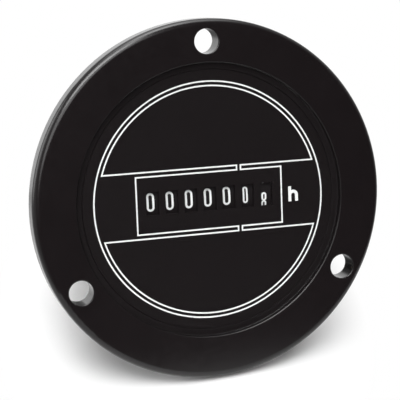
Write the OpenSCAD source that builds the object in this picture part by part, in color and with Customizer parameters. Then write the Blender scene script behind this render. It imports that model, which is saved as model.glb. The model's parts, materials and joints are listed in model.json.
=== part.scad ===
// Round panel hour meter: a flange with three fixing holes, a printed dial behind a clear lens,
// seven number drums with carry pinions, a stepping motor with its gears, and a circuit board.
// Millimetres. +Z is up, the dial looks towards -Y, the origin is the centre of the panel face.

/* [Flange] */
// diameter of the flange
flange_d = 69.5; // [68.5:0.5:71]
// thickness of the flange
flange_t = 4; // [3.9:0.1:4.5]
// rounding of the flange's front edge
flange_round = 1.2; // [0.3:0.1:1.5]
// width of the flange outside the body
flange_lip = 9; // [8.8:0.1:9.2]
// distance of the fixing holes' centres from the flange's edge
hole_edge = 4.25; // [4:0.05:4.5]
// diameter of each fixing hole
hole_d = 4.8; // [4.2:0.1:5]

/* [Body] */
// wall of the body tube
body_wall = 1.75; // [1.5:0.05:1.85]
// thickness of the rear cover's plate
cover_t = 2; // [1.8:0.1:2.5]
// depth of the rear cover's spigot inside the tube
spigot_l = 1.5; // [1.2:0.1:1.8]
// gap between the spigot and the tube
spigot_gap = 0.1; // [0.05:0.05:0.2]
// chamfer of the rear cover's edge
cover_chamfer = 0.5; // [0.3:0.1:0.8]
// height of the polarity signs on the rear cover
sign_h = 0.4; // [0.2:0.1:0.6]
// length of the polarity signs' bars
sign_l = 2.4; // [2:0.1:3]
// width of the polarity signs' bars
sign_w = 0.6; // [0.5:0.1:0.8]
// distance of the polarity signs from the blades
sign_gap = 5.5; // [5:0.1:6]
// room between the movement and the tube
movement_gap = 0.474; // [0.4:0.002:0.6]

/* [Lens and dial] */
// overlap of the lens over the body tube
lens_over = 0.65; // [0.55:0.05:0.8]
// thickness of the lens
lens_t = 1.2; // [1:0.1:1.3]
// depth of the lens below the flange's face
lens_inset = 0.1; // [0:0.05:0.2]
// film of cement between the lens and its seat
lens_film = 0.03; // [0.02:0.01:0.05]
// gap around the lens and around the dial
lens_gap = 0.1; // [0.05:0.05:0.15]
// chamfer around the lens recess
recess_chamfer = 0.12; // [0.08:0.02:0.3]
// inset of the dial plate's edge from the body tube's outside
dial_under = 0.65; // [0.5:0.05:0.8]
// thickness of the dial plate
dial_t = 0.5; // [0.4:0.05:0.6]
// overlap of the dial over each edge of a drum's rim
slot_lap = 0.1; // [0.05:0.01:0.2]
// height of the dial's slots, one for each drum
slot_h = 4.5; // [4.2:0.1:5]
// height of the slots' centre above the drum axis
slot_rise = 0.3; // [0:0.05:0.4]

/* [Dial print] */
// thickness of the white print
ink_t = 0.04; // [0.02:0.01:0.05]
// width of the printed lines
line_w = 0.29; // [0.24:0.01:0.4]
// distance of the outer printed ring from the dial's edge
ring_edge = 2.2; // [2:0.05:2.4]
// distance between the printed ring and the inner arcs
ring_gap = 0.84; // [0.8:0.02:1]
// distance of each printed chord from the window frame
band_gap = 0.88; // [0.85:0.01:0.95]
// distance of the window frame from the row of drums
window_side = 1.24; // [1.1:0.01:1.4]
// height of the printed window frame
window_h = 11.02; // [10.8:0.02:11.2]
// place of the decimal mark
mark_x = 5.96; // [5.8:0.02:6.1]
// width of the decimal mark
mark_w = 0.8; // [0.7:0.05:0.9]
// distance of the unit letter from the window frame
letter_gap = 1.43; // [1.2:0.01:1.6]
// height of the unit letter
letter_h = 2.97; // [2.7:0.01:3.2]
// width of the unit letter
letter_w = 2; // [1.8:0.01:2.3]
// height of the unit letter's arch
letter_arch = 2.25; // [2.1:0.01:2.4]
// stroke of the unit letter
letter_stroke = 0.62; // [0.5:0.01:0.7]
// drop of the unit letter's foot below the drum axis
letter_drop = 1.56; // [1.4:0.02:1.7]

/* [Number drums] */
// diameter of a number drum
drum_d = 16; // [15.8:0.1:16.1]
// spacing of the drums
drum_pitch = 3.82; // [3.75:0.01:3.9]
// width of a drum's rim
rim_w = 2.8; // [2.6:0.05:2.9]
// width of a drum's gear
drum_gear_w = 0.5; // [0.45:0.05:0.55]
// width of a drum's carry disc
carry_disc_w = 0.3; // [0.25:0.05:0.35]
// radius of a drum's carry disc
carry_disc_r = 5.3; // [5:0.1:5.4]
// depth of the recess in a drum's side
drum_recess = 1.5; // [1.2:0.1:1.6]
// inner radius of that recess
recess_in_r = 2.2; // [2:0.1:2.4]
// outer radius of that recess
recess_out_r = 4.7; // [4.4:0.1:4.8]
// radius of a drum's plain hub
hub_r = 3; // [2.6:0.1:3.2]
// radius of the drum shaft
shaft_r = 1; // [0.9:0.02:1.1]
// radius of the drum shaft's head
shaft_head_r = 1.6; // [1.5:0.05:1.8]
// running clearance of every shaft in its hole
run_gap = 0.04; // [0.03:0.01:0.06]
// room between the dial and the drums
drum_gap = 0.3; // [0.2:0.02:0.6]
// height of the numerals
digit_h = 3.55; // [3.2:0.05:3.6]
// width of the numerals on the hour drums
digit_w = 1.55; // [1.4:0.05:1.7]
// stroke of the numerals on the hour drums
digit_stroke = 0.42; // [0.36:0.02:0.48]
// height of the numerals on the decimal drums
decimal_h = 3.2; // [2.9:0.05:3.3]
// width of the numerals on the decimal drums
decimal_w = 1.02; // [0.9:0.02:1.2]
// stroke of the numerals on the decimal drums
decimal_stroke = 0.34; // [0.28:0.02:0.36]
// height of the numerals' centre above the drum axis
digit_rise = 0.45; // [0:0.05:0.5]
// distance of the numerals to the left of their drums' middle
digit_left = 0.21; // [0:0.01:0.3]
// height of the tenth's numeral above the drum axis
decimal_rise = 0.33; // [0.2:0.01:0.4]
// drop of the last drum's numeral, which stands between two places
last_drop = 1.06; // [1:0.02:1.5]

/* [Gears] */
// module of the drum gears and carry pinions
carry_module = 0.65; // [0.64:0.005:0.66]
// module of the motor's gears
train_module = 0.4; // [0.395:0.005:0.405]
// pressure angle of the teeth
pressure_angle = 20; // [19:0.5:22]
// tooth height outside the pitch circle, in modules
tooth_top = 0.8; // [0.7:0.05:0.85]
// tooth depth inside the pitch circle, in modules
tooth_depth = 1.15; // [1.1:0.05:1.25]
// play of the teeth on the pitch circle, in modules
tooth_play = 0.16; // [0.14:0.01:0.2]
// angle of the carry pinions, below and behind the drums
carry_angle = -55; // [-58:1:-52]
// width of a carry pinion
carry_pinion_w = 0.4; // [0.35:0.05:0.45]
// radius of the carry shaft
carry_shaft_r = 0.75; // [0.7:0.05:0.8]
// thickness of each motor gear
gear_w = 1; // [0.9:0.05:1.05]
// step from one layer of gears to the next
gear_step = 1.3; // [1.25:0.05:1.35]
// radius of the gear arbors
arbor_r = 0.5; // [0.45:0.01:0.55]
// angle of the middle gear, seen from the drum axis
middle_angle = -20; // [-22:1:-18]
// thickness of the gear bridge
bridge_t = 0.8; // [0.7:0.05:0.9]
// radius of the bridge's straps
bridge_strap_r = 1.7; // [1.6:0.05:1.8]
// radius of the bridge's pillars
pillar_r = 1.3; // [1.2:0.05:1.4]

/* [Frame] */
// room between the last drum's rim and the frame plate
plate_gap = 1.44; // [1.3:0.02:1.6]
// thickness of the frame plates
plate_t = 1; // [0.9:0.05:1.05]
// reach of the frame plates in front of the drum axis
plate_ahead = 6.5; // [6.2:0.1:6.8]
// half height of the frame plates
plate_half = 12; // [11.8:0.1:12.4]
// cut corners of the frame plates
plate_corner = 3; // [2:0.5:4]
// distance of the frame's lugs in front of the drum axis
lug_ahead = 5.5; // [5.3:0.1:5.7]
// radius of the frame's lugs
lug_r = 2.3; // [2.1:0.1:2.4]
// distance of the lugs' screws from the tube's bore
lug_edge = 2.7; // [2.5:0.1:2.8]
// radius of the frame's posts
post_r = 1.5; // [1.3:0.1:1.7]
// radius of the posts' ends in the plates
tenon_r = 0.9; // [0.8:0.05:1]

/* [Motor] */
// room between the motor can and the drums
motor_gap = 1.04; // [0.9:0.02:1.2]
// angle of the motor above the drum axis
motor_angle = 15.42; // [14:0.02:17]
// radius of the motor can
can_r = 6; // [5.8:0.1:6.1]
// wall of the motor can
can_wall = 0.5; // [0.4:0.05:0.55]
// left end of the motor can
can_x = 0.8; // [0.6:0.1:1]
// radius of the hole for the motor's shaft in the frame plate
motor_hole_r = 1.6; // [1.4:0.1:1.8]
// depth of the coil pins in the motor
coil_pin_in = 2.1; // [2:0.05:2.3]
// radius of the rotor magnet
magnet_r = 2.5; // [2.4:0.05:2.6]
// length of the rotor magnet
magnet_l = 9; // [8.5:0.1:9.4]
// radius of the rotor shaft
rotor_shaft_r = 0.5; // [0.45:0.01:0.55]
// inner radius of the pole fingers
pole_r = 2.8; // [2.75:0.05:2.9]
// thickness of the pole fingers
pole_t = 0.45; // [0.4:0.05:0.5]
// length of the pole fingers
pole_l = 8; // [7:0.5:9]
// inner radius of the bobbin
bobbin_r = 3.4; // [3.4:0.05:3.5]
// wall of the bobbin
bobbin_wall = 0.5; // [0.4:0.05:0.55]
// radius of the bobbin's end discs
bobbin_end_r = 5.3; // [5.2:0.05:5.35]
// radius of the winding
winding_r = 5.1; // [4.8:0.05:5.15]
// radius of the coil pins
coil_pin_r = 0.3; // [0.25:0.05:0.35]

/* [Circuit board and terminals] */
// room between the circuit board and the tube
board_side = 5; // [4.8:0.1:5.4]
// thickness of the circuit board
board_t = 1.2; // [1:0.1:1.4]
// gap between the motor can and the circuit board
board_gap = 1; // [0.8:0.05:1.3]
// length of the spacer studs on the rear cover
stud_l = 2.3; // [2:0.1:2.6]
// radius of the spacer studs on the rear cover
stud_r = 1.5; // [1.2:0.1:1.8]
// half spacing of the blades
blade_x = 6.5; // [6.2:0.1:7]
// width of a blade
blade_w = 6.3; // [6:0.1:6.5]
// thickness of a blade
blade_t = 0.8; // [0.7:0.05:0.9]
// length of a blade behind the rear cover
blade_out = 8; // [7.5:0.1:8.5]
// width of a blade's soldered tail
tail_w = 2.2; // [1.8:0.1:2.6]
// radius of the hole in a blade
blade_hole_r = 0.85; // [0.7:0.05:0.95]
// distance of each blade's hole from its end
blade_hole_in = 3.4; // [3:0.1:3.8]
// gap of a blade in the rear cover
blade_gap = 0.1; // [0.05:0.05:0.15]

// radius of the capacitor
capacitor_r = 3; // [2.5:0.1:3.2]
// length of the capacitor
capacitor_l = 8; // [7:0.5:9]
// depth and width of the capacitor's groove
capacitor_groove = 0.4; // [0.3:0.05:0.5]
// radius of the crystal's round ends
crystal_r = 2; // [1.8:0.1:2.2]
// distance between the crystal's round ends
crystal_l = 6; // [5:0.5:6.5]
// height of the crystal
crystal_h = 2.5; // [2.2:0.1:3]
// size of the driver chip
chip_size = 5; // [4.6:0.1:5.2]
// height of the driver chip
chip_h = 1.5; // [1.3:0.1:1.8]
// spacing of the driver chip's legs
chip_pitch = 1.27; // [1.2:0.01:1.3]
// length of the diode
diode_l = 4.2; // [4:0.1:4.5]
// width of the diode
diode_w = 2.6; // [2.4:0.1:2.8]
// height of the diode
diode_h = 2.2; // [2:0.1:2.4]
// length of a resistor
resistor_l = 3.2; // [3:0.1:3.4]

/* [Screws] */
// distance of the cover screws from the tube's bore
cover_screw_edge = 2.1; // [2:0.05:2.2]
// radius of the cover screws' bosses
cover_boss_r = 2.3; // [2.2:0.05:2.4]
// length of the cover screws' bosses
cover_boss_l = 7; // [6.5:0.1:7.5]
// radius of the screw shanks
screw_r = 1; // [0.9:0.05:1.05]
// radius of the screw heads
head_r = 1.8; // [1.7:0.05:1.9]
// height of the screw heads
head_h = 1; // [0.9:0.05:1.1]
// length of the cover screws in their bosses
cover_screw_in = 4.5; // [4:0.1:5]
// length of the frame screws in their bosses
frame_screw_in = 2.5; // [2.2:0.1:2.8]
// room around and below every screw
screw_gap = 0.2; // [0.15:0.05:0.3]
// width of the slot in a screw head
slot_cut = 0.5; // [0.4:0.05:0.6]

/* [Hidden] */
$fn = 72;

black = [0.05, 0.05, 0.055];
drum_black = [0.07, 0.07, 0.07];
white = [0.94, 0.94, 0.92];
steel = [0.7, 0.71, 0.73];
brass = [0.8, 0.66, 0.36];
cream = [0.87, 0.84, 0.74];
copper = [0.72, 0.4, 0.22];
board_green = [0.12, 0.36, 0.2];
grey = [0.28, 0.28, 0.3];

body_d = flange_d - 2 * flange_lip;
hole_circle_d = flange_d - 2 * hole_edge;
lens_d = body_d + 2 * lens_over;
dial_d = body_d - 2 * dial_under;
ring_d = dial_d - 2 * ring_edge;
arc_d = ring_d - 2 * ring_gap;
bore_r = body_d / 2 - body_wall;
face_y = -flange_t;
lens_back = face_y + lens_inset + lens_t;
lens_seat = lens_back + lens_film;
dial_front = lens_seat + ink_t;
dial_seat = dial_front + dial_t;
drum_count = 7;
drum_r = drum_d / 2;
drum_y = dial_seat + drum_gap + drum_r;
plate_front = drum_y - plate_ahead;
lug_y = drum_y - lug_ahead;
slot_w = rim_w - 2 * slot_lap;
window_w = drum_count * drum_pitch + 2 * window_side;
band_h = window_h + 2 * band_gap;
letter_x = window_w / 2 + letter_gap;
plate_x = (drum_count - 1) / 2 * drum_pitch + rim_w / 2 + plate_gap;
drum_teeth = 20;
carry_teeth = 8;
drive_teeth = 30;
middle_pinion_teeth = 10;
middle_teeth = 30;
first_pinion_teeth = 10;
first_teeth = 32;
rotor_teeth = 8;
carry_span = (drum_teeth + carry_teeth) * carry_module / 2;
drive_span = (drive_teeth + middle_pinion_teeth) * train_module / 2;
middle_span = (middle_teeth + first_pinion_teeth) * train_module / 2;
first_span = (first_teeth + rotor_teeth) * train_module / 2;

// axes of the turning pieces, as [y, z]
drum_axis = [drum_y, 0];
carry_axis = drum_axis + carry_span * [cos(carry_angle), sin(carry_angle)];
middle_axis = drum_axis + drive_span * [cos(middle_angle), sin(middle_angle)];
motor_axis = drum_axis
    + (drum_r + can_r + motor_gap) * [cos(motor_angle), sin(motor_angle)];
first_axis = third_corner(middle_axis, motor_axis, middle_span, first_span);

// layers of the gears along X
layer_drive = plate_x + plate_t + 0.4;
layer_middle = layer_drive + gear_step;
layer_first = layer_middle + gear_step;
bridge_x = layer_first + gear_step + 0.2;

// places, as [y, z] for the frame and [x, z] for the case
posts = [for (p = [[0.5625, 1.2875], [-0.4, -1.275], [1.8125, -1.125]]) drum_axis + drum_r * p];
pillars = [for (p = [[-0.1875, 1.1125], [2.125, -0.4375], [0.1875, -1.1]])
    drum_axis + drive_span * p];
lug_angles = [30, 150, 210, 330];
cover_angles = [30, 150, 270];
studs = [[-12, 9], [12, 9], [-12, -9], [12, -9]];
capacitor_place = [-8, 9];
crystal_place = [-8, -6];
chip_place = [4, -12.5];
diode_place = [-4, -12.5];
resistor_places = [[-10, -11.5], [9.5, -10.5], [-14.5, 0]];

plate_back = motor_axis[0] + can_r - 0.5;
board_front = motor_axis[0] + can_r + board_gap;
board_back = board_front + board_t;

// the movement is drawn for the bore that it needs, then fitted to the bore that there is
bridge_out = bridge_x + bridge_t + 0.6;
movement_r = norm([bridge_out, pillars[0][1] + pillar_r]) + movement_gap;
fit = bore_r / movement_r;
board_face = fit * board_front;
board_rear = fit * board_back;
board_r = movement_r - board_side;
lug_reach = movement_r - lug_edge;
lug_seat = fit * lug_y;
lug_place = fit * lug_reach;
cover_inside = board_rear + stud_l;
body_l = cover_inside + spigot_l;
cover_screw_reach = bore_r - cover_screw_edge;
cover_back = body_l + cover_t;
blade_end = cover_back + blade_out;

function drum_x(i) = (i - 4) * drum_pitch;
function gear_left(i) = drum_x(i) + rim_w / 2;

// the point to the left of the line a to b, at the two given distances
function third_corner(a, b, from_a, from_b) =
    let (line = b - a,
         d = norm(line),
         along = (from_a * from_a - from_b * from_b + d * d) / (2 * d),
         off = sqrt(from_a * from_a - along * along))
    a + line / d * along + [-line[1], line[0]] / d * off;

function bearing(a, b) = atan2(b[1] - a[1], b[0] - a[0]);

// phase that sets a gear's gap on the tooth of the gear it meshes with
function meshed(teeth, other_teeth, other_phase, a, b) =
    let (line = bearing(a, b),
         share = (line - other_phase) * other_teeth / 360)
    line + 180 - (0.5 - share) * 360 / teeth;

middle_phase = meshed(middle_pinion_teeth, drive_teeth, 0, drum_axis, middle_axis);
first_phase = meshed(first_pinion_teeth, middle_teeth, 0, middle_axis, first_axis);
rotor_phase = meshed(rotor_teeth, first_teeth, 0, first_axis, motor_axis);
carry_phase = meshed(carry_teeth, drum_teeth, 0, drum_axis, carry_axis);

function involute(a) = tan(a) * 180 / PI - a;

// half the angle of a tooth at radius r
function tooth_half(teeth, size, r) =
    let (pitch_r = teeth * size / 2,
         base_r = pitch_r * cos(pressure_angle),
         at_r = r <= base_r ? 0 : acos(base_r / r))
    90 / teeth - tooth_play * size / 2 / pitch_r * 180 / PI
        + involute(pressure_angle) - involute(at_r);

// outline of one tooth as [radius, angle]
function tooth(teeth, size) =
    let (pitch_r = teeth * size / 2,
         root_r = pitch_r - tooth_depth * size,
         tip_r = pitch_r + tooth_top * size,
         root_a = tooth_half(teeth, size, root_r),
         pitch_a = tooth_half(teeth, size, pitch_r),
         tip_a = tooth_half(teeth, size, tip_r))
    [[root_r, -root_a], [pitch_r, -pitch_a], [tip_r, -tip_a],
     [tip_r, tip_a], [pitch_r, pitch_a], [root_r, root_a]];

function polar(p, turn) = [p[0] * cos(p[1] + turn), p[0] * sin(p[1] + turn)];

module gear_outline(teeth, size, phase)
    polygon([for (k = [0 : teeth - 1]) for (p = tooth(teeth, size))
        polar(p, phase + k * 360 / teeth)]);

// 2-D in the Y-Z plane at a place [y, z], drawn out along X from x
module along_x(x, place, length)
    translate([x, place[0], place[1]])
        rotate([90, 0, 90])
            linear_extrude(length)
                children();

module rod_x(x, place, length, r)
    along_x(x, place, length)
        circle(r);

// 2-D in the X-Z plane, drawn out from front to back between two values of y
module along_y(front, back)
    translate([0, back, 0])
        rotate([90, 0, 0])
            linear_extrude(back - front)
                children();

module rod_y(x, z, front, back, r)
    along_y(front, back)
        translate([x, z])
            circle(r);

module box_y(x, z, width, height, front, back)
    along_y(front, back)
        translate([x, z])
            square([width, height], center = true);

// profile of [radius, distance in front of the panel face] turned about Y
module turned()
    rotate([90, 0, 0])
        rotate_extrude()
            children();

// a coloured piece of the movement, fitted to the bore
module fitted(tint)
    color(tint)
        scale(fit)
            children();

module ring(r, w)
    difference() {
        circle(r + w / 2);
        circle(r - w / 2);
    }

// screw along Y with its head to the back
module screw_y(x, z, tip, seat, r)
    difference() {
        union() {
            rod_y(x, z, tip, seat, r);
            rod_y(x, z, seat, seat + head_h, head_r);
        }
        box_y(x, z, 2 * head_r, slot_cut, seat + head_h / 2, seat + head_h + 1);
    }

module case_profile() {
    polygon([[bore_r, -body_l], [body_d / 2, -body_l], [body_d / 2, 0], [flange_d / 2, 0],
             [flange_d / 2, flange_t - flange_round], [flange_d / 2 - flange_round, flange_t],
             [lens_d / 2 + lens_gap + recess_chamfer, flange_t],
             [lens_d / 2 + lens_gap, flange_t - recess_chamfer],
             [lens_d / 2 + lens_gap, -lens_seat], [dial_d / 2 + lens_gap, -lens_seat],
             [dial_d / 2 + lens_gap, -dial_seat], [bore_r, -dial_seat]]);
    translate([flange_d / 2 - flange_round, flange_t - flange_round])
        circle(flange_round);
}

module lug_boss(angle) {
    wall_r = body_d / 2 - body_wall / 3;
    rotate([0, -angle, 0]) {
        rod_y(lug_place, 0, dial_seat, lug_seat, lug_r + screw_gap);
        box_y((lug_place + wall_r) / 2, 0, wall_r - lug_place, 2 * lug_r, dial_seat, lug_seat);
    }
}

module case()
    color(black)
        difference() {
            union() {
                turned()
                    case_profile();
                for (angle = lug_angles)
                    lug_boss(angle);
                for (angle = cover_angles)
                    rotate([0, -angle, 0])
                        rod_y(cover_screw_reach, 0, cover_inside - cover_boss_l, cover_inside,
                              cover_boss_r);
            }
            for (angle = [90, 210, 330])
                rotate([0, -angle, 0])
                    rod_y(hole_circle_d / 2, 0, -2 * flange_t, flange_t, hole_d / 2);
            for (angle = lug_angles)
                rotate([0, -angle, 0])
                    rod_y(lug_place, 0, fit * (lug_y - frame_screw_in - screw_gap), lug_seat + 1,
                          fit * screw_r);
            for (angle = cover_angles)
                rotate([0, -angle, 0])
                    rod_y(cover_screw_reach, 0, cover_inside - cover_screw_in - screw_gap,
                          cover_inside + 1, screw_r);
        }

module lens()
    color([0.85, 0.9, 0.92, 0.3])
        rod_y(0, 0, face_y + lens_inset, lens_back, lens_d / 2);

module dial()
    color(black)
        difference() {
            rod_y(0, 0, dial_front, dial_seat, dial_d / 2);
            for (i = [1 : drum_count])
                box_y(fit * drum_x(i), fit * slot_rise, fit * slot_w, fit * slot_h,
                      dial_front - 1, dial_seat + 1);
        }

module bar(x0, x1, z)
    translate([x0 - line_w / 2, z - line_w / 2])
        square([x1 - x0 + line_w, line_w]);

module upright(x, z0, z1)
    translate([x - line_w / 2, z0 - line_w / 2])
        square([line_w, z1 - z0 + line_w]);

module upper_lines() {
    band_z = fit * band_h / 2;
    window_z = fit * window_h / 2;
    window_x = fit * window_w / 2;
    mark_left = fit * mark_x - mark_w / 2;
    mark_right = fit * mark_x + mark_w / 2;
    intersection() {
        ring(arc_d / 2, line_w);
        translate([-arc_d, band_z - line_w / 2])
            square([2 * arc_d, arc_d]);
    }
    intersection() {
        circle(arc_d / 2 + line_w / 2);
        union() {
            bar(-arc_d, mark_left, band_z);
            bar(mark_right, arc_d, band_z);
        }
    }
    bar(-window_x, mark_left, window_z);
    bar(mark_right, window_x, window_z);
    upright(mark_left, window_z, band_z);
    upright(mark_right, window_z, band_z);
}

module unit_letter() {
    arch_y = letter_arch - letter_w / 2;
    square([letter_stroke, letter_h]);
    translate([letter_w - letter_stroke, 0])
        square([letter_stroke, arch_y]);
    intersection() {
        translate([letter_w / 2, arch_y])
            ring(letter_w / 2 - letter_stroke / 2, letter_stroke);
        translate([0, arch_y])
            square([letter_w, letter_w]);
    }
}

module dial_print()
    color(white)
        along_y(lens_seat, dial_front) {
            ring(ring_d / 2, line_w);
            upper_lines();
            mirror([0, 1, 0])
                upper_lines();
            for (side = [-1, 1])
                upright(side * fit * window_w / 2, -fit * window_h / 2, fit * window_h / 2);
            translate([fit * letter_x, -fit * letter_drop])
                scale(fit)
                    unit_letter();
        }

module rear_cover()
    color(black)
        difference() {
            union() {
                turned()
                    polygon([[0, -cover_inside], [bore_r - spigot_gap, -cover_inside],
                             [bore_r - spigot_gap, -body_l], [body_d / 2, -body_l],
                             [body_d / 2, cover_chamfer - cover_back],
                             [body_d / 2 - cover_chamfer, -cover_back], [0, -cover_back]]);
                for (p = studs)
                    rod_y(fit * p[0], fit * p[1], board_rear, cover_inside, stud_r);
                for (side = [-1, 1])
                    box_y(side * (blade_x + sign_gap), 0, sign_l, sign_w, body_l,
                          cover_back + sign_h);
                box_y(blade_x + sign_gap, 0, sign_w, sign_l, body_l, cover_back + sign_h);
            }
            for (side = [-1, 1])
                box_y(side * blade_x, 0, blade_t + 2 * blade_gap, blade_w + 2 * blade_gap,
                      cover_inside - 1, cover_back + 1);
            for (angle = cover_angles)
                rotate([0, -angle, 0]) {
                    rod_y(cover_screw_reach, 0, cover_inside - 1, cover_back + 1,
                          screw_r + screw_gap);
                    rod_y(cover_screw_reach, 0, cover_back - head_h, cover_back + 1,
                          head_r + screw_gap);
                }
        }

module cover_screws()
    color(steel)
        for (angle = cover_angles)
            rotate([0, -angle, 0])
                screw_y(cover_screw_reach, 0, cover_inside - cover_screw_in, cover_back - head_h,
                        screw_r);

// flat terminal seen from the side, in the Y-Z plane
module blade_outline()
    difference() {
        polygon([[board_rear, -blade_w / 2], [blade_end - 1, -blade_w / 2],
                 [blade_end, -blade_w / 2 + 1], [blade_end, blade_w / 2 - 1],
                 [blade_end - 1, blade_w / 2], [board_rear, blade_w / 2],
                 [board_rear, tail_w / 2], [board_face - 0.6, tail_w / 2],
                 [board_face - 0.6, -tail_w / 2], [board_rear, -tail_w / 2]]);
        translate([blade_end - blade_hole_in, 0])
            circle(blade_hole_r);
    }

module blade(x)
    color(brass)
        along_x(x - blade_t / 2, [0, 0], blade_t)
            blade_outline();

module blade_positive() blade(blade_x);
module blade_negative() blade(-blade_x);

// coil pins leave the bobbin's left end disc towards the board
coil_pin_x = can_x + can_wall + 0.6;
coil_pin_side = 2;
coil_pin_start = motor_axis[0] + can_r - coil_pin_in;

module circuit_board()
    fitted(board_green)
        difference() {
            rod_y(0, 0, board_front, board_back, board_r);
            for (side = [-1, 1]) {
                box_y(side * blade_x / fit, 0, blade_t / fit, tail_w / fit, board_front - 1,
                      board_back + 1);
                rod_y(coil_pin_x, motor_axis[1] + side * coil_pin_side, board_front - 1,
                      board_back + 1, coil_pin_r);
            }
        }

module capacitor()
    fitted(grey)
        difference() {
            rod_y(capacitor_place[0], capacitor_place[1], board_front - capacitor_l,
                  board_front, capacitor_r);
            along_y(board_front - 4 * capacitor_groove, board_front - 3 * capacitor_groove)
                translate(capacitor_place)
                    ring(capacitor_r, capacitor_groove);
        }

module crystal()
    fitted(steel)
        along_y(board_front - crystal_h, board_front)
            translate(crystal_place) {
                square([crystal_l, 2 * crystal_r], center = true);
                for (side = [-1, 1])
                    translate([side * crystal_l / 2, 0])
                        circle(crystal_r);
            }

// body and eight legs, each leg a foot and a shoulder
module driver_chip() {
    x = chip_place[0];
    z = chip_place[1];
    leg_y = board_front - 0.6 * chip_h;
    fitted(drum_black) {
        box_y(x, z, chip_size, 0.8 * chip_size, board_front - chip_h, board_front - chip_h / 15);
        for (k = [-1.5 : 1 : 1.5])
            for (side = [-1, 1]) {
                box_y(x + k * chip_pitch, z + side * 0.45 * chip_size, 0.3 * chip_pitch,
                      0.25 * chip_size, leg_y, board_front - 0.4 * chip_h);
                box_y(x + k * chip_pitch, z + side * 0.55 * chip_size, 0.3 * chip_pitch,
                      0.06 * chip_size, leg_y, board_front);
            }
    }
}

module diode()
    fitted(drum_black) {
        box_y(diode_place[0], diode_place[1], diode_l, diode_w, board_front - diode_h,
              board_front);
        box_y(diode_place[0], diode_place[1], 1.25 * diode_l, 0.55 * diode_w,
              board_front - 0.2 * diode_h, board_front);
    }

module resistors()
    fitted(drum_black)
        for (place = resistor_places)
            box_y(place[0], place[1], resistor_l / 2, resistor_l, board_front - resistor_l / 5,
                  board_front);

module pins()
    for (side = [-1, 1])
        rod_y(coil_pin_x, motor_axis[1] + side * coil_pin_side, coil_pin_start,
              board_back + 0.3, coil_pin_r);

module coil_pins()
    fitted(copper)
        pins();

module plate_outline()
    polygon([[plate_front, -plate_half + plate_corner], [plate_front, plate_half - plate_corner],
             [plate_front + plate_corner, plate_half], [plate_back - plate_corner, plate_half],
             [plate_back, plate_half - plate_corner], [plate_back, -plate_half + plate_corner],
             [plate_back - plate_corner, -plate_half], [plate_front + plate_corner, -plate_half]]);

module hole(place, r)
    translate(place)
        circle(r);

module lugs(angles, side)
    for (angle = angles) {
        x = lug_reach * cos(angle);
        z = lug_reach * sin(angle);
        difference() {
            along_y(lug_y, lug_y + plate_t) {
                translate([x, z])
                    circle(lug_r);
                translate([(x + side * plate_x) / 2, z])
                    square([abs(x) - plate_x, 2 * lug_r], center = true);
            }
            rod_y(x, z, lug_y - 1, lug_y + plate_t + 1, screw_r + screw_gap);
        }
    }

// the part of a frame plate that each lug is bent from
module lug_roots()
    for (side = [-1, 1])
        translate([lug_y, side * lug_reach * sin(lug_angles[0]) - lug_r])
            square([plate_front + plate_corner + 1 - lug_y, 2 * lug_r]);

module shared_holes() {
    hole(drum_axis, shaft_r + run_gap);
    hole(carry_axis, carry_shaft_r);
    for (p = posts)
        hole(p, tenon_r);
}

module frame_left()
    fitted(steel) {
        along_x(-plate_x - plate_t, [0, 0], plate_t)
            difference() {
                union() {
                    plate_outline();
                    lug_roots();
                }
                shared_holes();
            }
        lugs([150, 210], -1);
    }

module can_tabs()
    for (side = [-1, 1])
        translate(motor_axis + [0, side * (can_r - can_wall / 2)])
            square([2.4, can_wall], center = true);

module frame_right()
    fitted(steel) {
        along_x(plate_x, [0, 0], plate_t)
            difference() {
                union() {
                    plate_outline();
                    lug_roots();
                }
                shared_holes();
                hole(middle_axis, arbor_r);
                hole(first_axis, arbor_r);
                hole(motor_axis, motor_hole_r);
                for (p = pillars)
                    hole(p, tenon_r);
                can_tabs();
            }
        lugs([30, 330], 1);
    }

module frame_posts()
    fitted(steel)
        for (p = posts) {
            rod_x(-plate_x, p, 2 * plate_x, post_r);
            rod_x(-plate_x - plate_t, p, 2 * (plate_x + plate_t), tenon_r);
        }

module frame_screws()
    fitted(steel)
        for (angle = lug_angles)
            rotate([0, -angle, 0])
                screw_y(lug_reach, 0, lug_y - frame_screw_in, lug_y + plate_t, screw_r);

module drum_shaft()
    fitted(steel) {
        rod_x(-plate_x - plate_t - 0.3, drum_axis, plate_x + plate_t + 0.3 + layer_middle - 0.1,
              shaft_r);
        rod_x(-plate_x - plate_t - 0.9, drum_axis, 0.6, shaft_head_r);
    }

// two carry teeth on the disc at a drum's left side
module carry_disc_outline() {
    circle(carry_disc_r);
    for (side = [-0.5, 0.5])
        polygon(concat([[0, 0]], [for (p = tooth(drum_teeth, carry_module))
            polar(p, 90 + side * 360 / drum_teeth)]));
}

// the gear, disc and hub at a drum's sides all start from the middle of its rim
module drum_body(i) {
    rod_x(drum_x(i) - rim_w / 2, drum_axis, rim_w, drum_r);
    if (i < 7)
        along_x(drum_x(i), drum_axis, rim_w / 2 + drum_gear_w)
            gear_outline(drum_teeth, carry_module, 0);
    else
        rod_x(drum_x(i), drum_axis, plate_x - 0.3 - drum_x(i), hub_r);
    if (i > 1)
        along_x(drum_x(i) - rim_w / 2 - carry_disc_w, drum_axis, carry_disc_w + rim_w / 2)
            carry_disc_outline();
    else
        rod_x(-plate_x + 0.3, drum_axis, plate_x - 0.3 + drum_x(i), hub_r);
}

module drum(i)
    fitted(drum_black)
        difference() {
            drum_body(i);
            rod_x(-2 * plate_x, drum_axis, 4 * plate_x, i < 7 ? shaft_r + run_gap : shaft_r);
            if (i < 7)
                along_x(gear_left(i) + drum_gear_w - drum_recess, drum_axis, drum_recess + 1)
                    ring((recess_in_r + recess_out_r) / 2, recess_out_r - recess_in_r);
        }

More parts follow.
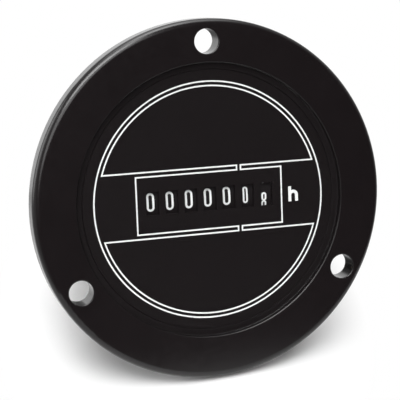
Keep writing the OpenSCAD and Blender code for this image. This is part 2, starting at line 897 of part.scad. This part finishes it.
module drum_1() drum(1);
module drum_2() drum(2);
module drum_3() drum(3);
module drum_4() drum(4);
module drum_5() drum(5);
module drum_6() drum(6);
module drum_7() drum(7);

module stadium(w, h) {
    square([w, h - w], center = true);
    for (side = [-1, 1])
        translate([0, side * (h - w) / 2])
            circle(w / 2);
}

module loop(w, h, s)
    difference() {
        stadium(w, h);
        stadium(w - 2 * s, h - 2 * s);
    }

// straight stroke between two points
module stroke(a, b, s)
    translate((a + b) / 2)
        rotate(bearing(a, b))
            square([norm(b - a), s], center = true);

module six(w, h, s) {
    translate([0, -0.2 * h])
        loop(w, 0.6 * h, s);
    intersection() {
        loop(w, h, s);
        union() {
            translate([-w, 0.2 * h - h / 2])
                square([w, h]);
            translate([-w, h / 2 - w / 2])
                square([2 * w, w]);
        }
    }
}

module numeral(n, w, h, s) {
    half_h = h / 2 + s / 2;
    low = -h / 4 + s / 4;
    waist = s / 3;
    if (n == 0)
        loop(w, h, s);
    if (n == 1) {
        square([s, h], center = true);
        stroke([0, h / 2 - s / 2], [-w / 3, h / 2 - w / 2], s);
    }
    if (n == 2) {
        intersection() {
            translate([0, h / 2 - w / 2])
                loop(w, w + 0.01, s);
            translate([-w, h / 2 - w / 2])
                square([2 * w, w]);
        }
        stroke([w / 2 - s / 2, h / 2 - w / 2], [-w / 2 + s / 2, -h / 2 + s / 2], s);
        stroke([-w / 2, -h / 2 + s / 2], [w / 2, -h / 2 + s / 2], s);
    }
    if (n == 3)
        difference() {
            for (y = [low, -low])
                translate([0, y])
                    loop(w, half_h, s);
            translate([-w, -h / 4])
                square([w, h / 2]);
        }
    if (n == 4) {
        stroke([w / 4, -h / 2], [w / 4, h / 2], s);
        stroke([-w / 2, -h / 6], [w / 2, -h / 6], s);
        stroke([w / 4, h / 2 - s / 2], [-w / 2 + s / 2, -h / 6], s);
    }
    if (n == 5) {
        stroke([-w / 2, h / 2 - s / 2], [w / 2, h / 2 - s / 2], s);
        stroke([-w / 2 + s / 2, h / 2], [-w / 2 + s / 2, 0], s);
        difference() {
            translate([0, -0.2 * h])
                loop(w, 0.6 * h, s);
            translate([-w, -0.3 * h])
                square([w, 0.3 * h]);
        }
        stroke([-w / 2, 0.1 * h - s / 2], [0, 0.1 * h - s / 2], s);
    }
    if (n == 6)
        six(w, h, s);
    if (n == 7) {
        stroke([-w / 2, h / 2 - s / 2], [w / 2, h / 2 - s / 2], s);
        stroke([w / 2 - s / 2, h / 2 - s / 2], [-w / 6, -h / 2], s);
    }
    if (n == 8)
        for (side = [-1, 1])
            translate([0, side * (h - waist) / 4])
                loop(w, (h + waist) / 2, s);
    if (n == 9)
        rotate(180)
            six(w, h, s);
}

// numerals 0 to 9 around a drum, the next one always above the last
module digits(i, w, h, s, rise)
    fitted(white)
        intersection() {
            translate([drum_x(i) - digit_left, drum_axis[0], drum_axis[1]])
                for (n = [0 : 9])
                    rotate([(i == 7 ? 8 : 0) * 36 - 36 * n - asin(rise / drum_r), 0, 0])
                        rotate([90, 0, 0])
                            translate([0, 0, drum_r - 0.6])
                                linear_extrude(1)
                                    numeral(n, w, h, s);
            difference() {
                rod_x(drum_x(i) - rim_w / 2, drum_axis, rim_w, drum_r + ink_t);
                rod_x(drum_x(i) - rim_w, drum_axis, 2 * rim_w, drum_r);
            }
        }

module hour_digits(i) digits(i, digit_w, digit_h, digit_stroke, digit_rise);

module digits_1() hour_digits(1);
module digits_2() hour_digits(2);
module digits_3() hour_digits(3);
module digits_4() hour_digits(4);
module digits_5() hour_digits(5);
module digits_6() digits(6, decimal_w, decimal_h, decimal_stroke, decimal_rise);
module digits_7() digits(7, decimal_w, decimal_h, decimal_stroke, -last_drop);

module carry_shaft()
    fitted(steel)
        rod_x(-plate_x - plate_t, carry_axis, 2 * (plate_x + plate_t), carry_shaft_r);

module carry_pinion(i)
    fitted(cream)
        along_x(gear_left(i) + 0.1, carry_axis, carry_pinion_w)
            difference() {
                gear_outline(carry_teeth, carry_module, carry_phase);
                circle(carry_shaft_r + run_gap);
            }

module carry_pinion_1() carry_pinion(1);
module carry_pinion_2() carry_pinion(2);
module carry_pinion_3() carry_pinion(3);
module carry_pinion_4() carry_pinion(4);
module carry_pinion_5() carry_pinion(5);
module carry_pinion_6() carry_pinion(6);

module drive_gear()
    fitted(cream)
        along_x(layer_drive, drum_axis, gear_w)
            difference() {
                gear_outline(drive_teeth, train_module, 0);
                circle(shaft_r);
            }

module middle_gear()
    fitted(cream)
        difference() {
            union() {
                along_x(layer_drive, middle_axis, gear_step)
                    gear_outline(middle_pinion_teeth, train_module, middle_phase);
                along_x(layer_middle, middle_axis, gear_w)
                    gear_outline(middle_teeth, train_module, 0);
            }
            rod_x(plate_x, middle_axis, plate_x, arbor_r + run_gap);
        }

module first_gear()
    fitted(cream)
        difference() {
            union() {
                along_x(layer_middle, first_axis, gear_step)
                    gear_outline(first_pinion_teeth, train_module, first_phase);
                along_x(layer_first, first_axis, gear_w)
                    gear_outline(first_teeth, train_module, 0);
            }
            rod_x(plate_x, first_axis, plate_x, arbor_r + run_gap);
        }

module arbor(place)
    fitted(steel)
        rod_x(plate_x, place, bridge_x + bridge_t - plate_x, arbor_r);

module middle_arbor() arbor(middle_axis);
module first_arbor() arbor(first_axis);

module strap(a, b) {
    for (p = [a, b])
        hole(p, bridge_strap_r);
    stroke(a, b, 1.6 * bridge_strap_r);
}

module gear_bridge()
    fitted(brass)
        along_x(bridge_x, [0, 0], bridge_t)
            difference() {
                union() {
                    strap(pillars[0], first_axis);
                    strap(first_axis, middle_axis);
                    strap(middle_axis, pillars[2]);
                    strap(middle_axis, pillars[1]);
                    strap(pillars[1], motor_axis);
                    strap(motor_axis, first_axis);
                }
                hole(first_axis, arbor_r);
                hole(middle_axis, arbor_r);
                hole(motor_axis, rotor_shaft_r + run_gap);
                for (p = pillars)
                    hole(p, tenon_r);
            }

module bridge_pillars()
    fitted(brass)
        for (p = pillars) {
            rod_x(plate_x + plate_t, p, bridge_x - plate_x - plate_t, pillar_r);
            rod_x(plate_x, p, plate_t, tenon_r);
        }

module bridge_screws()
    fitted(steel)
        for (p = pillars) {
            rod_x(bridge_x, p, bridge_t, tenon_r);
            rod_x(bridge_x + bridge_t, p, 0.6, pillar_r);
        }

can_length = plate_x - can_x;
can_middle = can_x + can_length / 2;

// five pole fingers between the rotor and the bobbin
module pole_fingers(phase)
    intersection() {
        ring(pole_r + pole_t / 2, pole_t);
        for (k = [0 : 4])
            rotate(phase + 72 * k)
                translate([0, -0.7])
                    square([2 * pole_r, 1.4]);
    }

module can_cup(x, length, end_x, finger_x, phase) {
    along_x(x, motor_axis, length)
        ring(can_r - can_wall / 2, can_wall);
    along_x(end_x, motor_axis, can_wall)
        difference() {
            circle(can_r);
            circle(rotor_shaft_r + run_gap);
        }
    along_x(finger_x, motor_axis, pole_l)
        pole_fingers(phase);
}

module motor_can_left()
    fitted(steel)
        difference() {
            can_cup(can_x, can_length / 2, can_x, can_x + can_wall / 2, 0);
            translate([coil_pin_x, motor_axis[0] + can_r, motor_axis[1]])
                cube([1.4, 2.4, 2 * coil_pin_side + 1.4], center = true);
        }

module motor_can_right()
    fitted(steel) {
        can_cup(can_middle, can_length / 2, plate_x - can_wall,
                plate_x - can_wall / 2 - pole_l, 36);
        along_x(plate_x, [0, 0], plate_t)
            can_tabs();
    }

bobbin_x = can_x + can_wall;
bobbin_l = can_length - 2 * can_wall;
bobbin_end_w = 1.2;

module motor_bobbin()
    fitted(cream)
        difference() {
            union() {
                along_x(bobbin_x, motor_axis, bobbin_l)
                    ring(bobbin_r + bobbin_wall / 2, bobbin_wall);
                for (x = [bobbin_x, bobbin_x + bobbin_l - bobbin_end_w])
                    along_x(x, motor_axis, bobbin_end_w)
                        ring((bobbin_r + bobbin_end_r) / 2, bobbin_end_r - bobbin_r);
            }
            pins();
        }

module motor_winding()
    fitted(copper)
        along_x(bobbin_x + bobbin_end_w, motor_axis, bobbin_l - 2 * bobbin_end_w)
            ring((bobbin_r + bobbin_wall + winding_r) / 2, winding_r - bobbin_r - bobbin_wall);

module rotor_magnet()
    fitted(grey)
        along_x(can_middle - magnet_l / 2, motor_axis, magnet_l)
            difference() {
                circle(magnet_r);
                circle(rotor_shaft_r);
            }

module rotor_shaft()
    fitted(steel) {
        rod_x(can_x - 0.4, motor_axis, bridge_x + bridge_t - can_x + 0.4, rotor_shaft_r);
        along_x(layer_first - 0.1, motor_axis, gear_w + 0.2)
            gear_outline(rotor_teeth, train_module, rotor_phase);
    }

case();
lens();
dial();
dial_print();
rear_cover();
cover_screws();
blade_positive();
blade_negative();
circuit_board();
capacitor();
crystal();
driver_chip();
diode();
resistors();
coil_pins();
frame_left();
frame_right();
frame_posts();
frame_screws();
drum_shaft();
drum_1();
drum_2();
drum_3();
drum_4();
drum_5();
drum_6();
drum_7();
digits_1();
digits_2();
digits_3();
digits_4();
digits_5();
digits_6();
digits_7();
carry_shaft();
carry_pinion_1();
carry_pinion_2();
carry_pinion_3();
carry_pinion_4();
carry_pinion_5();
carry_pinion_6();
drive_gear();
middle_gear();
first_gear();
middle_arbor();
first_arbor();
gear_bridge();
bridge_pillars();
bridge_screws();
motor_can_left();
motor_can_right();
motor_bobbin();
motor_winding();
rotor_magnet();
rotor_shaft();
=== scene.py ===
"""Round panel hour meter: finishes, floor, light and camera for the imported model.

Metres, in the frame of the CAD: +Z is up, the dial looks towards -Y, and the origin is the centre of the
flange's back.
"""

import json
import math

import bmesh
import bpy
from mathutils import Matrix, Vector

MM = 0.001
WHITE = (1.0, 1.0, 1.0, 1.0)
LENS_RADIUS = 26.45 * MM
LENS_EDGE = 0.05 * MM
COVERED_FROM = -1.1 * MM
COVERED_TO = -1.0 * MM
MATT_ROUGH = 0.55
MATT_GLOSS = 0.1

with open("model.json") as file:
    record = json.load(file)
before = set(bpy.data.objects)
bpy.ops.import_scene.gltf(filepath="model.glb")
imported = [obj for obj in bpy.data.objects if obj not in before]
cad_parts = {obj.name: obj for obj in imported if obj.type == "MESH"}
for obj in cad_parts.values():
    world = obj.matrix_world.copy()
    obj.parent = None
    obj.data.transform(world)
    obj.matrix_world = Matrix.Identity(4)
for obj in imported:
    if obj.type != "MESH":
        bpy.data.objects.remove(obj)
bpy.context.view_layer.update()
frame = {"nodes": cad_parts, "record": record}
scene = bpy.context.scene
scene.view_settings.view_transform = "Standard"


# nodes

def new_material(name):
    mat = bpy.data.materials.new(name)
    mat.use_nodes = True
    mat.node_tree.nodes.clear()
    return mat, mat.node_tree


def add(tree, kind, **values):
    """A node with its properties and unlinked inputs set by name."""
    node = tree.nodes.new(kind)
    for key, value in values.items():
        if key in node.inputs:
            node.inputs[key].default_value = value
        else:
            setattr(node, key, value)
    return node


def link(tree, out, into):
    tree.links.new(out, into)


def place(tree, stretch=(1.0, 1.0, 1.0)):
    """Object coordinates, scaled for a grain that runs along one axis."""
    coords = add(tree, "ShaderNodeTexCoord")
    mapping = add(tree, "ShaderNodeMapping")
    mapping.inputs["Scale"].default_value = stretch
    link(tree, coords.outputs["Object"], mapping.inputs["Vector"])
    return mapping.outputs["Vector"]


def noise(tree, vector, size, detail=3.0, roughness=0.55):
    """Noise whose features are about size metres across, from 0 to 1."""
    node = add(tree, "ShaderNodeTexNoise", Scale=1.0 / size, Detail=detail, Roughness=roughness)
    link(tree, vector, node.inputs["Vector"])
    return node.outputs["Fac"]


def ramp(tree, value, low, high, start=0.3, end=0.7):
    """A colour between low and high, as value goes from start to end."""
    node = add(tree, "ShaderNodeValToRGB")
    node.color_ramp.elements[0].position = start
    node.color_ramp.elements[0].color = (*low, 1.0)
    node.color_ramp.elements[1].position = end
    node.color_ramp.elements[1].color = (*high, 1.0)
    link(tree, value, node.inputs["Fac"])
    return node.outputs["Color"]


def span(tree, value, low, high, start=0.3, end=0.7):
    """A number between low and high, as value goes from start to end."""
    node = add(tree, "ShaderNodeMapRange")
    node.inputs["From Min"].default_value = start
    node.inputs["From Max"].default_value = end
    node.inputs["To Min"].default_value = low
    node.inputs["To Max"].default_value = high
    link(tree, value, node.inputs["Value"])
    return node.outputs["Result"]


def blend(tree, factor, first, second):
    """A mix of two colours, each a tuple or the output of a node."""
    node = add(tree, "ShaderNodeMix", data_type="RGBA")
    link(tree, factor, node.inputs["Factor"])
    for socket, value in ((node.inputs[6], first), (node.inputs[7], second)):
        if isinstance(value, tuple):
            socket.default_value = (*value, 1.0)
        else:
            link(tree, value, socket)
    return node.outputs[2]


def eased(tree, radius):
    """The normal of the surface with its edges eased by about radius metres."""
    return add(tree, "ShaderNodeBevel", samples=8, Radius=radius).outputs["Normal"]


def edges(tree, normal):
    """1 on an edge that the eased normal rounds off, 0 on a flat face."""
    geometry = add(tree, "ShaderNodeNewGeometry")
    dot = add(tree, "ShaderNodeVectorMath", operation="DOT_PRODUCT")
    link(tree, normal, dot.inputs[0])
    link(tree, geometry.outputs["Normal"], dot.inputs[1])
    return span(tree, dot.outputs["Value"], 1.0, 0.0, 0.75, 0.99)


def bump(tree, height, depth, normal=None):
    """A bump whose height runs from 0 to depth metres."""
    node = add(tree, "ShaderNodeBump", Strength=1.0, Distance=depth)
    link(tree, height, node.inputs["Height"])
    if normal is not None:
        link(tree, normal, node.inputs["Normal"])
    return node.outputs["Normal"]


def under_lens(tree, spot):
    """1 on the moulding that the lens covers, 0 elsewhere."""
    across = add(tree, "ShaderNodeVectorMath", operation="MULTIPLY")
    across.inputs[1].default_value = (1.0, 0.0, 1.0)
    link(tree, spot, across.inputs[0])
    reach = add(tree, "ShaderNodeVectorMath", operation="LENGTH")
    link(tree, across.outputs["Vector"], reach.inputs[0])
    parts = add(tree, "ShaderNodeSeparateXYZ")
    link(tree, spot, parts.inputs["Vector"])
    both = add(tree, "ShaderNodeMath", operation="MULTIPLY")
    inside = span(tree, reach.outputs["Value"], 1.0, 0.0, LENS_RADIUS - LENS_EDGE, LENS_RADIUS)
    ahead = span(tree, parts.outputs["Y"], 1.0, 0.0, COVERED_FROM, COVERED_TO)
    link(tree, inside, both.inputs[0])
    link(tree, ahead, both.inputs[1])
    return both.outputs["Value"]


def surface(tree, color, roughness, normal=None, **values):
    """A Principled surface at the end of the tree."""
    shader = add(tree, "ShaderNodeBsdfPrincipled", **values)
    link(tree, color, shader.inputs["Base Color"])
    link(tree, roughness, shader.inputs["Roughness"])
    if normal is not None:
        link(tree, normal, shader.inputs["Normal"])
    output = add(tree, "ShaderNodeOutputMaterial")
    link(tree, shader.outputs["BSDF"], output.inputs["Surface"])
    return shader


# finishes

def moulded(name, dark, light, worn, rough, grain, wear=0.5, gloss=0.5, lens_seat=False):
    """Moulded plastic: soft clouds in the colour, a fine moulded grain, and paler rubbed edges.

    With lens_seat, the part that the lens covers is matt.
    """
    mat, tree = new_material(name)
    spot = place(tree)
    clouds = noise(tree, spot, 6 * MM, 4.0)
    color = ramp(tree, clouds, dark, light)
    smears = noise(tree, spot, 1.4 * MM, 5.0)
    patchy = span(tree, smears, 0.0, wear, 0.4, 0.75)
    soft = eased(tree, 0.4 * MM)
    rubbed = add(tree, "ShaderNodeMath", operation="MULTIPLY")
    link(tree, edges(tree, soft), rubbed.inputs[0])
    link(tree, patchy, rubbed.inputs[1])
    color = blend(tree, rubbed.outputs["Value"], color, worn)
    fine = noise(tree, spot, 0.16 * MM, 2.0)
    roughness = span(tree, smears, rough - 0.02, rough + 0.04)
    shader = surface(tree, color, roughness, bump(tree, fine, grain, soft), **{"Specular IOR Level": gloss})
    if lens_seat:
        covered = under_lens(tree, spot)
        matt = add(tree, "ShaderNodeMath", operation="MULTIPLY_ADD")
        matt.inputs[1].default_value = MATT_ROUGH - rough
        link(tree, covered, matt.inputs[0])
        link(tree, roughness, matt.inputs[2])
        link(tree, matt.outputs["Value"], shader.inputs["Roughness"])
        link(tree, span(tree, covered, gloss, MATT_GLOSS, 0.0, 1.0), shader.inputs["Specular IOR Level"])
    return mat


def painted(name, dark, light, rough, grain, gloss=0.5):
    """A thin coat of ink or paint: slight mottling and a fine orange-peel."""
    mat, tree = new_material(name)
    spot = place(tree)
    mottle = noise(tree, spot, 0.9 * MM, 4.0)
    peel = noise(tree, spot, 0.12 * MM, 2.0)
    surface(tree, ramp(tree, mottle, dark, light), span(tree, mottle, rough - 0.05, rough + 0.07),
            bump(tree, peel, grain), **{"Specular IOR Level": gloss})
    return mat


def brushed(name, dark, light, rough, along, tarnish):
    """Rolled or ground metal with fine lines along one axis, cloudy tarnish and bright rubbed edges."""
    mat, tree = new_material(name)
    stretch = [1.0, 1.0, 1.0]
    stretch["XYZ".index(along)] = 0.03
    lines = noise(tree, place(tree, stretch), 0.06 * MM, 2.0)
    spot = place(tree)
    clouds = noise(tree, spot, 2.2 * MM, 5.0)
    color = ramp(tree, lines, dark, light)
    color = blend(tree, span(tree, clouds, 0.0, 0.55, 0.5, 0.8), color, tarnish)
    bright = tuple(min(1.0, 1.12 * c) for c in light)
    soft = eased(tree, 0.1 * MM)
    color = blend(tree, edges(tree, soft), color, bright)
    surface(tree, color, span(tree, lines, rough - 0.06, rough + 0.1),
            bump(tree, lines, 0.0008 * MM, soft), Metallic=1.0)
    return mat


def wound(name, dark, light, pitch):
    """Enamelled wire, close turns along X, with painted shade between the turns and a painted highlight on
    each turn's crest.
    """
    mat, tree = new_material(name)
    spot = place(tree)
    turns = add(tree, "ShaderNodeTexWave", wave_type="BANDS", bands_direction="X",
                Scale=2 * math.pi / pitch / 20, Distortion=0.4, Detail=1.0)
    link(tree, spot, turns.inputs["Vector"])
    tint = noise(tree, spot, 0.8 * MM, 4.0)
    # painted shade where the turns meet and a painted highlight on their crests; the clouds add a darker
    # tone at random
    color = blend(tree, span(tree, tint, 0.0, 0.5), ramp(tree, turns.outputs["Fac"], dark, light, 0.0, 0.6),
                  dark)
    surface(tree, color, span(tree, tint, 0.28, 0.42), bump(tree, turns.outputs["Fac"], 0.03 * MM),
            Metallic=0.8)
    return mat


def board(name, dark, light, track):
    """Green mask over straight copper tracks, with the glass weave just showing."""
    mat, tree = new_material(name)
    spot = place(tree)
    turned = add(tree, "ShaderNodeMapping")
    turned.inputs["Rotation"].default_value = (math.pi / 2, 0.0, 0.0)
    link(tree, spot, turned.inputs["Vector"])
    tracks = add(tree, "ShaderNodeTexBrick", offset=0.37, offset_frequency=3, squash=0.6,
                 squash_frequency=2)
    tracks.inputs["Scale"].default_value = 1.0
    tracks.inputs["Brick Width"].default_value = 6.5 * MM
    tracks.inputs["Row Height"].default_value = 2.1 * MM
    tracks.inputs["Mortar Size"].default_value = 0.28 * MM
    tracks.inputs["Mortar Smooth"].default_value = 0.2
    link(tree, turned.outputs["Vector"], tracks.inputs["Vector"])
    weave = noise(tree, spot, 0.35 * MM, 2.0)
    color = blend(tree, tracks.outputs["Fac"], ramp(tree, weave, dark, light), track)
    surface(tree, color, span(tree, weave, 0.28, 0.4), bump(tree, tracks.outputs["Fac"], 0.03 * MM),
            IOR=1.5)
    return mat


def clear(name):
    """Polished clear plastic without bending: what lies behind shows, under a Fresnel gloss."""
    mat, tree = new_material(name)
    spot = place(tree)
    haze = noise(tree, spot, 9 * MM, 4.0)
    facing = add(tree, "ShaderNodeLayerWeight", Blend=0.5)
    steep = add(tree, "ShaderNodeMath", operation="POWER")
    steep.inputs[1].default_value = 5.0
    link(tree, facing.outputs["Facing"], steep.inputs[0])
    mirror = span(tree, steep.outputs["Value"], 0.04, 1.0, 0.0, 1.0)
    side = add(tree, "ShaderNodeNewGeometry")
    front = span(tree, side.outputs["Backfacing"], 1.0, 0.0, 0.0, 1.0)
    share = add(tree, "ShaderNodeMath", operation="MULTIPLY")
    link(tree, mirror, share.inputs[0])
    link(tree, front, share.inputs[1])
    through = add(tree, "ShaderNodeBsdfTransparent")
    link(tree, ramp(tree, haze, (0.97, 0.975, 0.975), (0.985, 0.99, 0.99)), through.inputs["Color"])
    gloss = add(tree, "ShaderNodeBsdfGlossy")
    link(tree, span(tree, haze, 0.02, 0.05), gloss.inputs["Roughness"])
    mix = add(tree, "ShaderNodeMixShader")
    link(tree, share.outputs["Value"], mix.inputs["Fac"])
    link(tree, through.outputs["BSDF"], mix.inputs[1])
    link(tree, gloss.outputs["BSDF"], mix.inputs[2])
    output = add(tree, "ShaderNodeOutputMaterial")
    link(tree, mix.outputs["Shader"], output.inputs["Surface"])
    return mat


finishes = {
    "case_black": moulded("case_black", (0.0052, 0.0041, 0.0044), (0.0066, 0.0052, 0.0056),
                          (0.011, 0.009, 0.009), 0.19, 0.001 * MM, 0.3, 0.45, lens_seat=True),
    "lens_clear": clear("lens_clear"),
    "dial_black": painted("dial_black", (0.0050, 0.0038, 0.0041), (0.0064, 0.0050, 0.0053), MATT_ROUGH,
                          0.002 * MM, MATT_GLOSS),
    "print_white": painted("print_white", (0.97, 0.97, 0.96), (1.0, 1.0, 0.99), 0.5, 0.004 * MM),
    "drum_black": moulded("drum_black", (0.0062, 0.0049, 0.0053), (0.0080, 0.0065, 0.0069),
                          (0.020, 0.018, 0.018), 0.46, 0.005 * MM, 0.3, 0.15),
    "pinion_cream": moulded("pinion_cream", (0.74, 0.70, 0.58), (0.82, 0.78, 0.66),
                            (0.90, 0.87, 0.78), 0.36, 0.006 * MM),
    "frame_steel": brushed("frame_steel", (0.50, 0.51, 0.53), (0.66, 0.67, 0.69), 0.34, "Y",
                           (0.47, 0.47, 0.45)),
    "shaft_steel": brushed("shaft_steel", (0.58, 0.59, 0.61), (0.74, 0.75, 0.77), 0.22, "X",
                           (0.52, 0.51, 0.50)),
    "screw_steel": brushed("screw_steel", (0.52, 0.53, 0.54), (0.68, 0.69, 0.70), 0.30, "Z",
                           (0.46, 0.46, 0.44)),
    "brass": brushed("brass", (0.74, 0.57, 0.28), (0.84, 0.68, 0.38), 0.26, "Y", (0.60, 0.46, 0.24)),
    # copper: the darker colour is painted shade between the turns and also a random darker tone, the paler
    # one a painted highlight on the turns
    "copper": wound("copper", (0.36, 0.13, 0.06), (0.72, 0.36, 0.19), 0.14 * MM),
    "board_green": board("board_green", (0.018, 0.105, 0.042), (0.028, 0.140, 0.058),
                         (0.060, 0.230, 0.095)),
    "component_black": moulded("component_black", (0.020, 0.020, 0.022), (0.034, 0.034, 0.036),
                               (0.09, 0.09, 0.09), 0.45, 0.008 * MM),
    "component_sleeve": moulded("component_sleeve", (0.012, 0.016, 0.045), (0.020, 0.026, 0.065),
                                (0.10, 0.11, 0.16), 0.26, 0.003 * MM),
    "magnet_grey": moulded("magnet_grey", (0.055, 0.055, 0.058), (0.095, 0.095, 0.098),
                           (0.20, 0.20, 0.20), 0.55, 0.012 * MM),
}

for part in frame["record"]["subparts"]:
    shown = frame["nodes"][part["node"]]
    shown.data.materials.clear()
    shown.data.materials.append(finishes[part["material_slot"]])


# camera

LENS_MM = 131.5
SENSOR_MM = 36.0
CAMERA_PLACE = Vector((-0.08389, -0.26664, 0.04456))
CAMERA_RIGHT = Vector((0.95268, -0.30167, -0.03748))
CAMERA_UP = Vector((0.08311, 0.13987, 0.98668))

camera_data = bpy.data.cameras.new("camera")
camera_data.sensor_width = SENSOR_MM
camera_data.lens = LENS_MM
camera_data.clip_start = 10 * MM
camera = bpy.data.objects.new("camera", camera_data)
scene.collection.objects.link(camera)
look_right = CAMERA_RIGHT.normalized()
look_up = CAMERA_UP.normalized()
look_back = look_right.cross(look_up).normalized()
turn = Matrix((look_right, look_up, look_back)).transposed()
camera.matrix_world = Matrix.Translation(CAMERA_PLACE) @ turn.to_4x4()
scene.camera = camera


# floor: the meter leans back on the flange's lower edge and the rear cover's lower edge

REAR_STEP = 9 * MM
REAR_REACH = 34.67 * MM
ROLL = math.radians(-3.2)
FLOOR_RADIUS = 95 * MM
FLOOR_DROP = 34.78 * MM
FLOOR_SETBACK = 30 * MM
FADE_START = 45 * MM
FADE_END = 75 * MM
FADE_STRETCH = (1.9, 1.0, 1.0)

lean = math.atan2(REAR_STEP, REAR_REACH)
up = Vector((math.sin(ROLL), 0.0, math.cos(ROLL)))
floor_normal = math.cos(lean) * up - math.sin(lean) * Vector((0.0, 1.0, 0.0))
floor_mesh = bpy.data.meshes.new("floor")
form = bmesh.new()
bmesh.ops.create_circle(form, cap_ends=True, segments=96, radius=FLOOR_RADIUS)
form.to_mesh(floor_mesh)
form.free()
floor = bpy.data.objects.new("floor", floor_mesh)
scene.collection.objects.link(floor)
floor_middle = -FLOOR_DROP * up + FLOOR_SETBACK * Vector((0.0, math.cos(lean), math.sin(lean)))
floor.matrix_world = (Matrix.Translation(floor_middle)
                      @ floor_normal.to_track_quat("Z", "Y").to_matrix().to_4x4())

white, tree = new_material("floor_white")
paper = add(tree, "ShaderNodeBsdfDiffuse")
paper.inputs["Color"].default_value = WHITE
far = add(tree, "ShaderNodeEmission", Strength=1.0)
reach = add(tree, "ShaderNodeVectorMath", operation="LENGTH")
link(tree, place(tree, FADE_STRETCH), reach.inputs[0])
fading = add(tree, "ShaderNodeMixShader")
link(tree, span(tree, reach.outputs["Value"], 0.0, 1.0, FADE_START, FADE_END), fading.inputs["Fac"])
link(tree, paper.outputs["BSDF"], fading.inputs[1])
link(tree, far.outputs["Emission"], fading.inputs[2])
path = add(tree, "ShaderNodeLightPath")
seen = add(tree, "ShaderNodeMath", operation="MAXIMUM")
link(tree, path.outputs["Is Camera Ray"], seen.inputs[0])
link(tree, path.outputs["Is Glossy Ray"], seen.inputs[1])
seen_too = add(tree, "ShaderNodeMath", operation="MAXIMUM")
link(tree, seen.outputs["Value"], seen_too.inputs[0])
link(tree, path.outputs["Is Transmission Ray"], seen_too.inputs[1])
choice = add(tree, "ShaderNodeMixShader")
link(tree, seen_too.outputs["Value"], choice.inputs["Fac"])
link(tree, paper.outputs["BSDF"], choice.inputs[1])
link(tree, fading.outputs["Shader"], choice.inputs[2])
output = add(tree, "ShaderNodeOutputMaterial")
link(tree, choice.outputs["Shader"], output.inputs["Surface"])
floor_mesh.materials.append(white)


# light: a room that is dark in front of the dial and bright overhead, and five soft lamps

FILL = 0.10
ROOM_PALE = (0.62, 0.62, 0.62)
ROOM_DARK = (0.12, 0.093, 0.099)
ROOM_GLOW = (3.2, 3.2, 3.2)
TO_DARK = (0.30, -0.94, -0.16)
TO_GLOW = (0.0, -0.05, 1.0)


def lamp(name, spot, size, power):
    """A round soft lamp, size metres across, aimed at the origin."""
    data = bpy.data.lights.new(name, "AREA")
    data.shape = "DISK"
    data.size = size
    data.energy = power
    obj = bpy.data.objects.new(name, data)
    scene.collection.objects.link(obj)
    obj.location = spot
    obj.rotation_euler = Vector(spot).to_track_quat("Z", "Y").to_euler()
    obj.visible_camera = False


lamp("key", (-0.21, -0.42, 0.41), 0.38, 3.2)
lamp("high", (-0.03, -0.13, 0.55), 0.26, 0.85)
lamp("low", (-0.15, -0.58, 0.20), 0.48, 1.8)
lamp("back", (0.0, 0.54, 0.22), 0.70, 0.8)
lamp("side", (-0.50, 0.14, 0.16), 0.40, 1.0)

world = bpy.data.worlds.new("room")
scene.world = world
world.use_nodes = True
tree = world.node_tree
tree.nodes.clear()
coords = add(tree, "ShaderNodeTexCoord")
toward = add(tree, "ShaderNodeVectorMath", operation="DOT_PRODUCT")
toward.inputs[1].default_value = TO_DARK
link(tree, coords.outputs["Generated"], toward.inputs[0])
room = ramp(tree, toward.outputs["Value"], ROOM_PALE, ROOM_DARK, 0.1, 0.72)
overhead = add(tree, "ShaderNodeVectorMath", operation="DOT_PRODUCT")
overhead.inputs[1].default_value = TO_GLOW
link(tree, coords.outputs["Generated"], overhead.inputs[0])
glow = span(tree, overhead.outputs["Value"], 0.0, 1.0, 0.84, 0.94)
room = blend(tree, glow, room, ROOM_GLOW)
path = add(tree, "ShaderNodeLightPath")
fill = add(tree, "ShaderNodeBackground", Strength=FILL)
shine = add(tree, "ShaderNodeBackground", Strength=1.0)
link(tree, room, shine.inputs["Color"])
backdrop = add(tree, "ShaderNodeBackground", Strength=1.0)
backdrop.inputs["Color"].default_value = WHITE
fill.inputs["Color"].default_value = WHITE
first_mix = add(tree, "ShaderNodeMixShader")
link(tree, path.outputs["Is Glossy Ray"], first_mix.inputs["Fac"])
link(tree, fill.outputs["Background"], first_mix.inputs[1])
link(tree, shine.outputs["Background"], first_mix.inputs[2])
seen = add(tree, "ShaderNodeMath", operation="MAXIMUM")
link(tree, path.outputs["Is Camera Ray"], seen.inputs[0])
link(tree, path.outputs["Is Transmission Ray"], seen.inputs[1])
second_mix = add(tree, "ShaderNodeMixShader")
link(tree, seen.outputs["Value"], second_mix.inputs["Fac"])
link(tree, first_mix.outputs["Shader"], second_mix.inputs[1])
link(tree, backdrop.outputs["Background"], second_mix.inputs[2])
output = add(tree, "ShaderNodeOutputWorld")
link(tree, second_mix.outputs["Shader"], output.inputs["Surface"])
